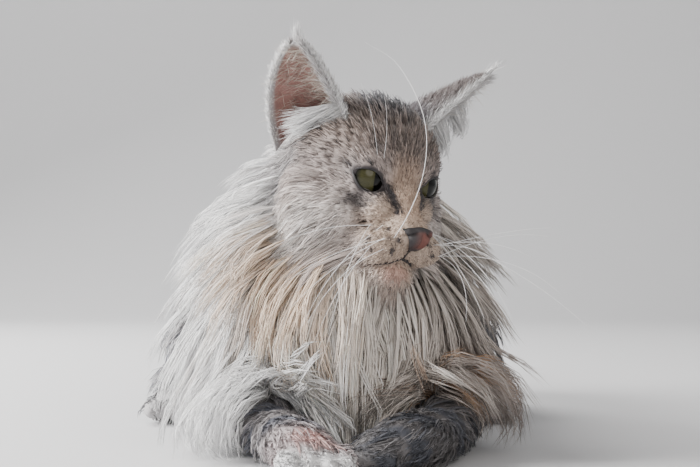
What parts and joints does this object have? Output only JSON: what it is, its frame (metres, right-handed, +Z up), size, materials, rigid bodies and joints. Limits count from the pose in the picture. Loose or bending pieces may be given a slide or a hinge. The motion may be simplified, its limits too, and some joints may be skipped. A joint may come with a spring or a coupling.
{
  "type": "maine coon cat",
  "caption": "Life-size maine coon cat lying on its chest and belly with the forelegs in front, the head turned to its left, a long ruff, tufted ears and a bushy tail.",
  "frame": {"origin": "middle of the cat's bounding box, on the floor it lies on", "axes": "+Z up, +Y from the nose towards the tail, +X towards the cat's left side"},
  "size_m": [0.2936, 0.8066, 0.256],
  "materials": {
    "silver_fur": "soft long grey-silver hair",
    "ruff_fur": "soft long white to cream hair",
    "eye": "wet and clear over an olive iris"
  },
  "bodies": {
    "root": {"head": "silver_fur", "eye_right": "eye", "eye_left": "eye", "ear_right": "silver_fur", "ear_left": "silver_fur", "neck": "ruff_fur", "torso": "silver_fur", "foreleg_right": "silver_fur", "foreleg_left": "silver_fur", "hindleg_right": "silver_fur", "hindleg_left": "silver_fur", "tail_base": "silver_fur", "tail_middle": "silver_fur", "tail_tip": "silver_fur"}
  },
  "joints": []
}
